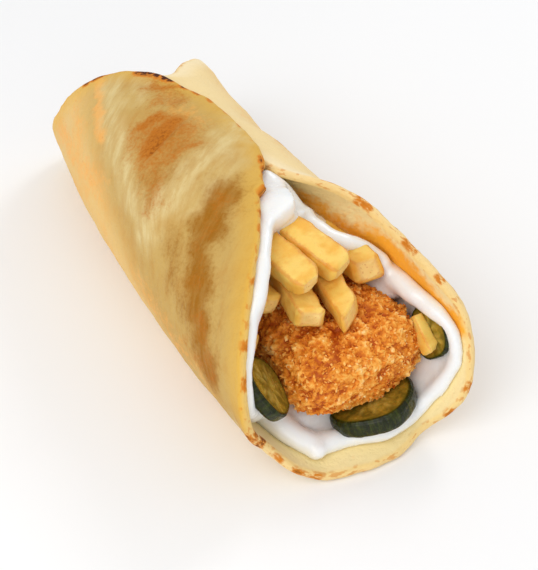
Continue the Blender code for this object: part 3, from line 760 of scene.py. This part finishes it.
def scatterTree(name, holder, maskName):
    tree = bpy.data.node_groups.new(name, "GeometryNodeTree")
    new = tree.interface.new_socket
    new("Geometry", in_out="OUTPUT", socket_type="NodeSocketGeometry")
    new("Geometry", in_out="INPUT", socket_type="NodeSocketGeometry")
    for label in ("Spacing", "Density", "Smallest", "Largest", "Clump Size"):
        new(label, in_out="INPUT", socket_type="NodeSocketFloat")
    new("Seed", in_out="INPUT", socket_type="NodeSocketInt")
    new("Material", in_out="INPUT", socket_type="NodeSocketMaterial")
    ins = tree.nodes.new("NodeGroupInput").outputs
    mask = put(tree, "GeometryNodeInputNamedAttribute", {"Name": maskName}, data_type="FLOAT")
    clouds = put(tree, "ShaderNodeTexNoise", {
        "Vector": put(tree, "GeometryNodeInputPosition").outputs[0], "Detail": 2.0,
        "Scale": calc(tree, "DIVIDE", 1.0, ins["Clump Size"])}).outputs[0]
    clumps = put(tree, "ShaderNodeMapRange", dict(enumerate((clouds, *crumbs["clumping"])))).outputs[0]
    points = put(tree, "GeometryNodeDistributePointsOnFaces", {
        "Mesh": ins["Geometry"], "Distance Min": ins["Spacing"], "Density Max": ins["Density"],
        "Density Factor": times(tree, mask.outputs[0], clumps), "Seed": ins["Seed"]},
        distribute_method="POISSON")
    shapes = put(tree, "GeometryNodeCollectionInfo", {
        "Collection": holder, "Separate Children": True, "Reset Children": True})

    def chance(low, high, shift, kind="FLOAT"):
        seed = put(tree, "FunctionNodeIntegerMath", {0: ins["Seed"], 1: shift}).outputs[0]
        item = put(tree, "FunctionNodeRandomValue", {"Seed": seed}, data_type=kind)
        for socket, value in zip([s for s in item.inputs if s.enabled], (low, high)):
            socket.default_value = value
        return [s for s in item.outputs if s.enabled][0]

    lean = Vector((crumbs["tilt"], crumbs["tilt"], 3.14))
    turned = put(tree, "FunctionNodeEulerToRotation", {0: chance(-lean, lean, 11, "FLOAT_VECTOR")})
    tilt = put(tree, "FunctionNodeRotateRotation", {
        0: points.outputs["Rotation"], 1: turned.outputs[0]}, rotation_space="LOCAL")
    size = calc(tree, "POWER", chance(0.0, 1.0, 23), crumbs["mostlySmall"])
    scaled = put(tree, "ShaderNodeMapRange", {0: size, 3: ins["Smallest"], 4: ins["Largest"]})
    stuck = put(tree, "GeometryNodeInstanceOnPoints", {
        "Points": points.outputs["Points"], "Instance": shapes.outputs[0], "Pick Instance": True,
        "Rotation": tilt.outputs[0], "Scale": scaled.outputs[0]})
    toned = put(tree, "GeometryNodeStoreNamedAttribute", {
        "Geometry": stuck.outputs[0], "Name": "tone"}, data_type="FLOAT", domain="INSTANCE")
    tree.links.new(chance(0.0, 1.0, 37), [s for s in toned.inputs if s.name == "Value" and s.enabled][0])
    real = put(tree, "GeometryNodeRealizeInstances", {0: toned.outputs[0]})
    coated = put(tree, "GeometryNodeSetMaterial", {"Geometry": real.outputs[0],
                                                   "Material": ins["Material"]})
    put(tree, "NodeGroupOutput", {"Geometry": coated.outputs[0]})
    return tree


def makeCrumbs():
    # the tree runs on a copy of the crust, and what it makes is kept as a plain mesh
    holder = crumbShapes()
    piece = addObject("panko_crumbs", crust.data.copy())
    live = piece.modifiers.new("scatter", "NODES")
    live.node_group = scatterTree("crumb scatter", holder, "crumbs")
    values = {
        "Spacing": crumbs["spacing"] * mm, "Density": crumbs["density"] / mm**2,
        "Smallest": crumbs["smallest"] * mm, "Largest": crumbs["largest"] * mm,
        "Clump Size": crumbs["clumpSize"] * mm, "Seed": crumbs["seed"], "Material": crustMaterial,
    }
    for socket in live.node_group.interface.items_tree:
        if socket.in_out == "INPUT" and socket.name in values:
            live[socket.identifier] = values[socket.name]
    applyModifiers(piece)
    for item in list(holder.objects):
        bpy.data.objects.remove(item, do_unlink=True)
    bpy.data.collections.remove(holder)
    register(piece, "fried_breading")


makeCrumbs()

sauce = {
    "edge": (
        (0, 20), (20, 28), (40, 40), (60, 49), (85, 55), (100, 54), (112, 51), (122, 46), (130, 43),
        (136, 45), (141, 48.8), (147, 53), (156, 56.4), (165, 58.4), (182, 60.8), (203, 63.5), (226, 64),
        (248, 64.5), (262, 64), (269, 62), (274, 57), (279, 42), (283, 12), (288, -14), (294, -22),
        (305, -24), (318, -16), (330, -4), (340, 8), (350, 15), (360, 20),
    ),
    "back": (
        (0, -44), (45, -50), (90, -62), (135, -70), (180, -72), (225, -72), (270, -62), (315, -48),
        (360, -44),
    ),
    "intoBread": 0.1,            # how deep its outside sits in the bread
    "layer": (
        (0, 5.4), (40, 4.6), (58, 2.6), (85, 2.4), (104, 3.4), (120, 3.0), (185, 1.8), (225, 1.2),
        (248, 0.9), (262, 0.9), (270, 1.1), (277, 2.0), (284, 2.8), (295, 3.4), (310, 4.2), (335, 4.4),
        (360, 5.4),
    ),
    "gap": 0.75,
    "thickerBehind": 1.25,
    "closing": (
        (0, 20), (18, 23), (60, 20), (90, 20), (112, 20), (130, 24), (180, 26), (225, 26),
        (245, 32), (262, 38), (275, 38), (282, 24), (290, 16), (305, 14), (340, 17), (360, 20),
    ),
    "bead": 1.6,                 # how far its rounded edge stands out at most
    # how far behind the closing line, and share of the way over to the chicken
    "ontoChicken": ((0.0, 0.15), (0.2, 0.3), (0.6, 0.45), (1.2, 0.65), (2.2, 0.85), (3.0, 1.0)),
    "sides": 220,
    "voxel": 0.85,
    "smoothing": 12,
    "ripples": ((8.0, 0.5), (3.6, 0.18)),
    # thick bands squeezed out along the bread: turn, along, depth, radius
    "bands": (
        ((2, 18, 3.8, 1.6), (17, 28, 4.1, 2.0), (29, 36, 4.5, 2.4), (42, 42, 3.9, 1.8),
         (57, 47, 2.9, 0.9), (72, 51, 2.8, 0.9), (85, 52.6, 4.0, 1.8), (95, 52.4, 5.4, 2.8),
         (104, 51, 6.1, 3.5), (112, 48.6, 6.1, 3.6), (121, 45, 6.0, 3.6), (130, 43.5, 6.2, 3.9),
         (137, 46.5, 6.0, 3.9), (142, 50.6, 5.7, 3.6), (149, 54.2, 5.4, 3.4), (158, 56.6, 5.1, 3.3),
         (168, 57.8, 4.9, 3.1), (180, 59, 4.6, 2.8), (195, 60.4, 4.7, 2.8), (210, 61.4, 4.5, 2.5),
         (225, 62, 4.2, 2.2), (240, 62.6, 4.0, 1.9), (252, 63, 3.8, 1.7), (262, 62.6, 3.8, 1.7),
         (270, 60.6, 4.0, 1.9), (275, 56.5, 4.4, 2.2), (277, 49.5, 5.0, 2.8), (278, 42, 5.4, 3.1),
         (277, 35, 5.6, 3.1), (275, 29, 5.6, 2.8), (272, 22, 5.6, 2.6)),
        ((120, 35, 7.6, 3.6), (130, 37.5, 7.6, 3.8), (140, 41.6, 7.4, 3.7), (150, 46, 7.2, 3.6),
         (162, 48.6, 6.9, 3.4), (175, 49.4, 6.5, 3.0), (188, 50.5, 6.0, 2.4)),
    ),
    # and over the fries: x, along, z, radius
    "swirls": (
        ((5.9, 3.2, 52.0, 1.9), (7.0, 5.2, 50.0, 2.7), (7.9, 7.6, 48.0, 3.5), (8.9, 11.4, 45.2, 3.7),
         (10.4, 14.2, 43.2, 3.5), (11.4, 18.0, 42.8, 3.2), (12.3, 21.3, 42.6, 3.0),
         (14.1, 24.3, 41.8, 2.8), (16.9, 26.5, 41.4, 2.6), (19.8, 27.6, 40.0, 2.5),
         (22.2, 30.0, 37.8, 2.6), (24.2, 33.2, 35.6, 2.8)),
        ((4.4, 10.6, 48.0, 3.1), (6.2, 12.8, 46.0, 3.4), (8.6, 14.4, 44.0, 3.2)),
        ((9.0, 9.0, 43.0, 3.4), (12.0, 12.0, 38.0, 4.0), (16.0, 16.0, 34.0, 4.0), (20.0, 20, 32.0, 4.0)),
        ((2.0, 60.5, 6.0, 3.0), (9.0, 62.0, 5.6, 3.2), (16.0, 61.0, 7.4, 3.0)),
    ),
    "drop": (157, 58.6, 5.2, 3.2),
    "dropNeck": (-0.5, 1.5, 0.5, 2.0),       # x, y, z from the drop, radius
}


def tube(path, sides=16):
    # a closed round rope through points of x, y, z and radius
    at = np.linspace(0, len(path) - 1, len(path) * 6)
    smooth = np.column_stack([curveThrough(range(len(path)), at, column) for column in path.T])
    centre, size = smooth[:, :3], smooth[:, 3]
    heading = unit(np.gradient(centre, axis=0))
    side = unit(np.cross(heading, (0.3, 0.5, 0.8)))      # across a direction that no rope runs in
    up = np.cross(side, heading)
    angle = np.arange(sides) * 2 * np.pi / sides

    def cap(k, way):
        return [(centre[k] + way * heading[k] * size[k] * math.sin(t), size[k] * math.cos(t), k)
                for t in (0.4, 0.9, 1.4)]

    body = [(centre[k], size[k], k) for k in range(len(at))]
    rings = [middle + radius * (np.outer(np.cos(angle), side[k]) + np.outer(np.sin(angle), up[k]))
             for middle, radius, k in cap(0, -1)[::-1] + body + cap(-1, 1)]
    tips = [centre[0] - heading[0] * size[0], centre[-1] + heading[-1] * size[-1]]
    return np.vstack([*rings, tips]), ringFaces(len(rings), sides)


def onBread(turn, along, depth):
    return rollPoint(turn, along, depth, raised=False)


def liningRings(count):
    # the lining's rings, out along the bread, over its edge and back in round the chicken
    fine = np.linspace(0, 360, 1441)
    edge = curveThrough(sauce["edge"], fine)
    stepLength = np.radians(fine[1]) * roll["radius"]
    length = np.concatenate([[0], np.cumsum(np.hypot(0.7 * np.diff(edge), stepLength))])
    # points are set evenly along its edge, a little closer where it runs round the roll
    turn = np.interp(np.arange(count) * length[-1] / count, length, fine)
    front, layer, closing, back = (curveThrough(sauce[key], turn)
                                   for key in ("edge", "layer", "closing", "back"))
    slope = np.interp(turn, fine, np.gradient(edge, stepLength))
    touching = bread["thickness"] - sauce["intoBread"]
    layer = layer + sauce["gap"] + sauce["intoBread"]
    inner = touching + layer * sauce["thickerBehind"]

    def seenFromChicken(points, along):
        x, z, *_ = chickenPoint(turn, along)
        return np.degrees(np.unwrap(np.arctan2(x - points[:, 0], points[:, 2] - z)))

    def roundChicken(angle, along):
        x, z, radius, sine, cosine = chickenPoint(angle, along, chicken["relief"] + 0.2)
        return np.stack([x + radius * sine, -along, z + radius * cosine], -1)

    rows = [onBread(turn, front * (1 - share) + back * share, touching)
            for share in np.linspace(1, 0.02, 40)**1.4]
    bead = np.minimum(0.4 * layer, sauce["bead"]) * ease(-4, 4, front - closing)
    for angle in np.radians((-70, -45, -20, 0, 20, 45, 70)):
        bulge = bead * np.cos(angle) / np.hypot(1, slope)
        rows.append(onBread(turn - np.degrees(bulge * slope / roll["radius"]), front + bulge,
                            touching + layer * (0.5 + 0.5 * np.sin(angle))))
    for share in np.linspace(0.04, 1.0, 14):
        rows.append(onBread(turn, front * (1 - share) + closing * share,
                            (touching + layer) * (1 - share) + inner * share))
    near = seenFromChicken(onBread(turn, closing, inner), closing)
    far = seenFromChicken(onBread(turn, back, touching), back)
    for behind, share in sauce["ontoChicken"]:       # the last one is where it touches
        rows.append(onBread(turn, closing - behind, inner) * (1 - share)
                    + roundChicken(near, closing - behind) * share)
    for share in np.linspace(0.1, 1.0, 12):
        rows.append(roundChicken(near * (1 - share) + far * share,
                                 (closing - behind) * (1 - share) + back * share))
    return rows


def makeSauce():
    rings = liningRings(sauce["sides"])
    points, faces = np.vstack(rings), ringFaces(len(rings), sauce["sides"], poles=False)
    ropes = [np.column_stack([onBread(*np.array(band).T[:3]), np.array(band)[:, 3]])
             for band in sauce["bands"]]
    ropes += [np.array(swirl) * (1, -1, 1, 1) for swirl in sauce["swirls"]]
    drop = np.array([*onBread(*sauce["drop"][:3]), 0])
    ropes.append(drop + (sauce["dropNeck"], (0, 0, 0, sauce["drop"][3])))
    for rope in ropes:
        more, hooks = tube(rope)
        faces += [[i + len(points) for i in face] for face in hooks]
        points = np.vstack([points, more])
    piece = makePiece("white_sauce_lining", points, faces, sauceMaterial)
    melt = piece.modifiers.new("melt", "REMESH")
    melt.mode = "VOXEL"
    melt.voxel_size = sauce["voxel"] * mm
    even = piece.modifiers.new("even", "SMOOTH")
    even.iterations = sauce["smoothing"]
    even.factor = 0.5
    mesh = applyModifiers(piece)
    mesh.shade_smooth()
    place, normal = (np.empty(len(mesh.vertices) * 3, np.float32) for _ in range(2))
    mesh.vertices.foreach_get("co", place)
    mesh.vertices.foreach_get("normal", normal)
    place, normal = (values.reshape(-1, 3).astype(float) for values in (place, normal))
    place += normal * (roughness(place / mm, sauce["ripples"], 2.0) * mm)[:, None]
    mesh.vertices.foreach_set("co", place.astype(np.float32).ravel())
    mesh.update()
    if not mesh.materials:
        mesh.materials.append(sauceMaterial)
    register(piece, "white_sauce", "garlic_sauce")


makeSauce()

fries = {
    # both ends as (x, along, z), width, height, roll, slant of the cut end across and up
    # and how far the cut end is rounded off
    "sticks": (
        ("top", (3.4, 16.5, 45.5), (8.8, 37.5, 44.3), 8.4, 7.4, -8, 0.1, 0.25, 1.8),
        ("left_top", (-4.8, 18.5, 44.6), (-2.4, 40.5, 47.0), 8.8, 7.8, -12, 0.1, 0.35, 3.4),
        ("right_top", (16.2, 14, 34.0), (18.8, 35.4, 37.6), 8.4, 8.0, -4, -0.38, -0.3, 1.0),
        ("front_left", (-1.2, 18, 36.9), (-3.8, 43.2, 37.2), 7.8, 7.2, 6, -0.3, 0.05, 0.9),
        ("front_middle", (8.8, 16, 36.8), (6.2, 46.8, 36.6), 7.4, 7.0, -8, 0.75, -0.1, 0.9),
        ("left", (-12.0, 14, 37.0), (-10.8, 34.5, 38.0), 6.6, 6.6, 25, 0.1, 0.1, 1.2),
        ("left_low", (-19.5, 16, 30.0), (-20.8, 40.5, 33.4), 6.6, 6.4, 10, 0.1, 0.1, 1.2),
        ("right", (24.8, 48.8, 28.4), (24.6, 57.8, 23.4), 3.8, 4.8, 14, 0.5, 0.1, 1.0),
    ),
    "around": 44,
    "step": 0.55,
    "boxiness": 5.4,
    "hollowSides": 0.03,
    "bend": 0.5,
    "tipRounding": 0.42,
    "cutRoughness": 1.6,
    "lumps": ((4.0, 0.42), (1.6, 0.14), (0.7, 0.05)),
    "faceRings": (0.25, 0.5, 0.72, 0.86, 0.94),
}


def makeFry(name, rear, tip, wide, high, rollAngle, slantAcross, slantUp, rounded):
    start, end = (np.array([x, -along, z], float) for x, along, z in (rear, tip))
    length = np.linalg.norm(end - start)
    axis = (end - start) / length
    side = unit(np.cross(axis, (0, 0, 1)))
    up = np.cross(side, axis)
    tilt = np.radians(rollAngle)
    side, up = side * np.cos(tilt) + up * np.sin(tilt), up * np.cos(tilt) - side * np.sin(tilt)
    count = fries["around"]
    angle = np.arange(count) * 2 * np.pi / count
    across, over = (np.sign(v) * np.abs(v)**(2 / fries["boxiness"]) for v in (np.cos(angle), np.sin(angle)))
    pulledIn = 1 - fries["hollowSides"] * np.cos(2 * angle)**2
    cornerMask = np.abs(np.sin(2 * angle))**4
    seed = sum(map(ord, name))
    # rings out over the rear face, along the stick and in over the cut end, each with its
    # share of the length, its size and 1 on a face
    steps = np.linspace(0.012, 0.988, max(8, int(length / fries["step"])))
    faceRings = fries["faceRings"]
    rings = ([(0.0, s, 1) for s in faceRings] + [(s, 1.0, 0) for s in steps]
             + [(1.0, s, 1) for s in faceRings[::-1]])
    rows = []
    for share, size, isFace in rings:
        bendAcross, bendUp = (fries["bend"] * noise.noise(Vector((seed, share * 1.4, k))) for k in (0, 9))
        taper = 0.95 + 0.05 * np.sin(np.pi * share) + 0.03 * noise.noise(Vector((seed, share * 4, 5)))
        toTip = np.clip(1 - (1 - share) * length / rounded, 0, 1)
        taper = taper * (1 - fries["tipRounding"] * toTip**2.2)
        a = across * pulledIn * wide / 2 * size * taper + bendAcross
        b = over * pulledIn * high / 2 * size * taper + bendUp
        lean = (slantAcross * a + slantUp * b) * ease(0.4, 1.0, share)
        middle = start + (end - start) * share
        ring = middle + np.outer(a, side) + np.outer(b, up) + np.outer(lean, axis)
        isTip = isFace * (share > 0.5)
        rows.append((ring, unit(ring - middle) + axis * fries["cutRoughness"] * isTip,
                     float(size > 0.9) if isFace else cornerMask, isTip))
    still = (0, 0, 0)
    points, outward, corner, isTip = overRings(rows, ((start, still, 0, 0), (end, still, 0, 1)), count)
    points = points + outward * roughness(points, fries["lumps"], seed)[:, None]
    piece = makePiece("golden_fry_" + name, points, ringFaces(len(rings), count), potatoMaterial,
                      corner=corner, end=isTip)
    register(piece, "fried_potato", "fry_" + name)


for stick in fries["sticks"]:
    makeFry(*stick)

pickles = {
    # middle, direction its face looks in, radius, thickness, share kept behind the middle
    "slices": (
        ("front", (8.6, 55.0, 9.4), (-0.17, 0.33, 0.92), 11.9, 5.4, 0.1),
        ("left", (-21.6, 49.6, 27.0), (0.74, -0.28, 0.58), 8.6, 3.8, 1.0),
        ("right", (27.3, 53.4, 25.3), (-0.97, -0.10, 0.20), 7.2, 2.4, 1.0),
    ),
    "around": 150,
    "warts": ((2.4, 0.22), (0.9, 0.07)),
    "lip": 0.16,                 # share of the thickness that rounds off each edge
    "sunk": 0.35,
    "seeds": 26,
    "seedRing": (0.25, 0.66),
    "seedSize": (1.3, 0.6),
    "seedRise": 0.3,
    "randomSeed": 12,
}


def makePickle(name, middle, facing, radius, thickness, kept):
    axis = unit(np.array(facing, float))
    front = unit(axis * axis[1] - (0, 1, 0))
    side = np.cross(front, axis)
    centre = np.array([middle[0], -middle[1], middle[2]], float)
    count, half = pickles["around"], thickness / 2
    angle = np.arange(count) * 2 * np.pi / count
    uneven = 1 + 0.03 * np.cos(3 * angle) + 0.02 * np.sin(5 * angle)
    # rings over the upper face, the skin and the lower face: share of the radius, rise, 1 on skin
    lip = pickles["lip"] * thickness
    bend = [(1 - lip * (1 - math.sin(t)) / radius, half - lip * (1 - math.cos(t)), 1)
            for t in np.radians((10, 35, 60, 85))]
    rings = [(s, half, 0) for s in (0.1, 0.2, 0.3, 0.4, 0.5, 0.6, 0.68, 0.76, 0.83, 0.89)] + bend
    rings += [(1.0 + 0.02 * (1 - z * z), half * z, 1) for z in np.linspace(0.7, -0.7, 9)]
    rings += [(share, -rise, 1) for share, rise, _ in bend[::-1]]
    rings += [(s, -half, 0) for s in (0.85, 0.6, 0.3)]
    rows = []
    for share, rise, isSkin in rings:
        reach = radius * share * uneven
        forward = np.maximum(reach * np.sin(angle), -kept * radius * share)
        ring = centre + np.outer(reach * np.cos(angle), side) + np.outer(forward, front) + axis * rise
        unrolled = np.column_stack([angle * radius, np.full(count, rise), np.zeros(count)])
        rows.append((ring, isSkin, min(share, 1.0), unrolled))
    ends = [(centre + axis * rise, 0, 0, (0, rise, 0)) for rise in (half, -half)]
    points, skin, radial, unrolled = overRings(rows, ends, count)
    flesh, fromCentre = skin < 0.5, points - centre
    sunk = np.where(flesh, -pickles["sunk"] * ease(0.95, 0.7, radial), 0.0)
    upright = np.where(fromCentre @ axis > 0, 1.0, -1.0)[:, None] * axis
    outward = np.where(flesh[:, None], upright, unit(fromCentre))
    lumps = roughness(points, pickles["warts"], 6.0) * np.where(flesh, 0.5, 1.0)
    # seeds lie in a ring round the middle
    rng = np.random.default_rng(pickles["randomSeed"])
    seeded = np.zeros(len(points))
    local = np.column_stack([fromCentre @ side, fromCentre @ front])
    long, wide = pickles["seedSize"]
    for _ in range(pickles["seeds"]):
        away, at = radius * rng.uniform(*pickles["seedRing"]), rng.uniform(0, 2 * np.pi)
        aim = np.array([math.cos(at), math.sin(at)])
        gap = local - away * aim
        lengthways, sideways = gap @ aim, gap @ np.array([-aim[1], aim[0]])
        seeded = np.maximum(seeded, np.exp(-(lengthways / long)**2 - (sideways / wide)**2))
    seeded = np.where(flesh, seeded, 0)
    points = points + outward * (lumps + sunk + pickles["seedRise"] * seeded)[:, None]
    piece = makePiece("wet_pickle_" + name, points, ringFaces(len(rings), count), pickleMaterial,
                      skin=skin, radial=radial, seeded=seeded, slice=unrolled)
    register(piece, "pickled_cucumber", "pickle_slice_" + name)


for cut in pickles["slices"]:
    makePickle(*cut)

studio = {
    "azimuth": -30, "elevation": 45, "distance": 0.405, "lens": 94.737,
    "aim": (-0.003751, -0.031216, 0.030),
    "floor": -0.0002,                        # just under the bread
    "floorTones": ((0.93, 0.935, 0.945, 1), (0.96, 0.965, 0.975, 1)),
    "ambient": 0.7,
    # name, place, aim, size, power, colour
    "lights": (
        ("key", (-0.38, -0.16, 0.52), (0, 0, 0.03), 0.45, 1.4, (1.0, 0.99, 0.97)),
        ("side", (0.32, 0.12, 0.36), (0, 0, 0.03), 0.16, 0.35, (1.0, 1.0, 1.0)),
        ("fill", (-0.24, -0.44, 0.16), (0, -0.02, 0.03), 0.3, 0.24, (1.0, 1.0, 1.0)),
    ),
}


def makeStudio():
    mesh = bpy.data.meshes.new("table_top")
    work = bmesh.new()
    bmesh.ops.create_grid(work, x_segments=1, y_segments=1, size=1.5)
    work.to_mesh(mesh)
    work.free()
    floor = addObject("table_top", mesh)
    floor.location.z = studio["floor"]
    material, tree, shader = newMaterial("pale_table", Roughness=0.85)
    dark, light = studio["floorTones"]
    tree.links.new(cover(tree, dark, (cloud(tree, objectPlace(tree), 0.2, 2.0), light)),
                   shader.inputs["Base Color"])
    mesh.materials.append(material)

    world = bpy.data.worlds.new("studio")
    bpy.context.scene.world = world
    world.use_nodes = True
    background = world.node_tree.nodes["Background"].inputs
    background[0].default_value, background[1].default_value = (1, 1, 1, 1), studio["ambient"]
    for name, place, aim, size, power, tint in studio["lights"]:
        lamp = bpy.data.lights.new(name, "AREA")
        lamp.shape, lamp.size, lamp.energy, lamp.color = "DISK", size, power, tint
        item = addObject(name, lamp)
        item.location = place
        item.rotation_euler = (Vector(place) - Vector(aim)).to_track_quat("Z", "Y").to_euler()

    azimuth, elevation = math.radians(studio["azimuth"]), math.radians(studio["elevation"])
    back = Vector((math.sin(azimuth) * math.cos(elevation),
                   -math.cos(azimuth) * math.cos(elevation), math.sin(elevation)))
    lens = bpy.data.cameras.new("photo view")
    lens.sensor_width, lens.lens = 36, studio["lens"]
    camera = addObject("photo view", lens)
    camera.location = Vector(studio["aim"]) + back * studio["distance"]
    camera.rotation_euler = back.to_track_quat("Z", "Y").to_euler()
    bpy.context.scene.camera = camera
    bpy.context.scene.view_settings.view_transform = "Standard"
    print("studio ready")


makeStudio()
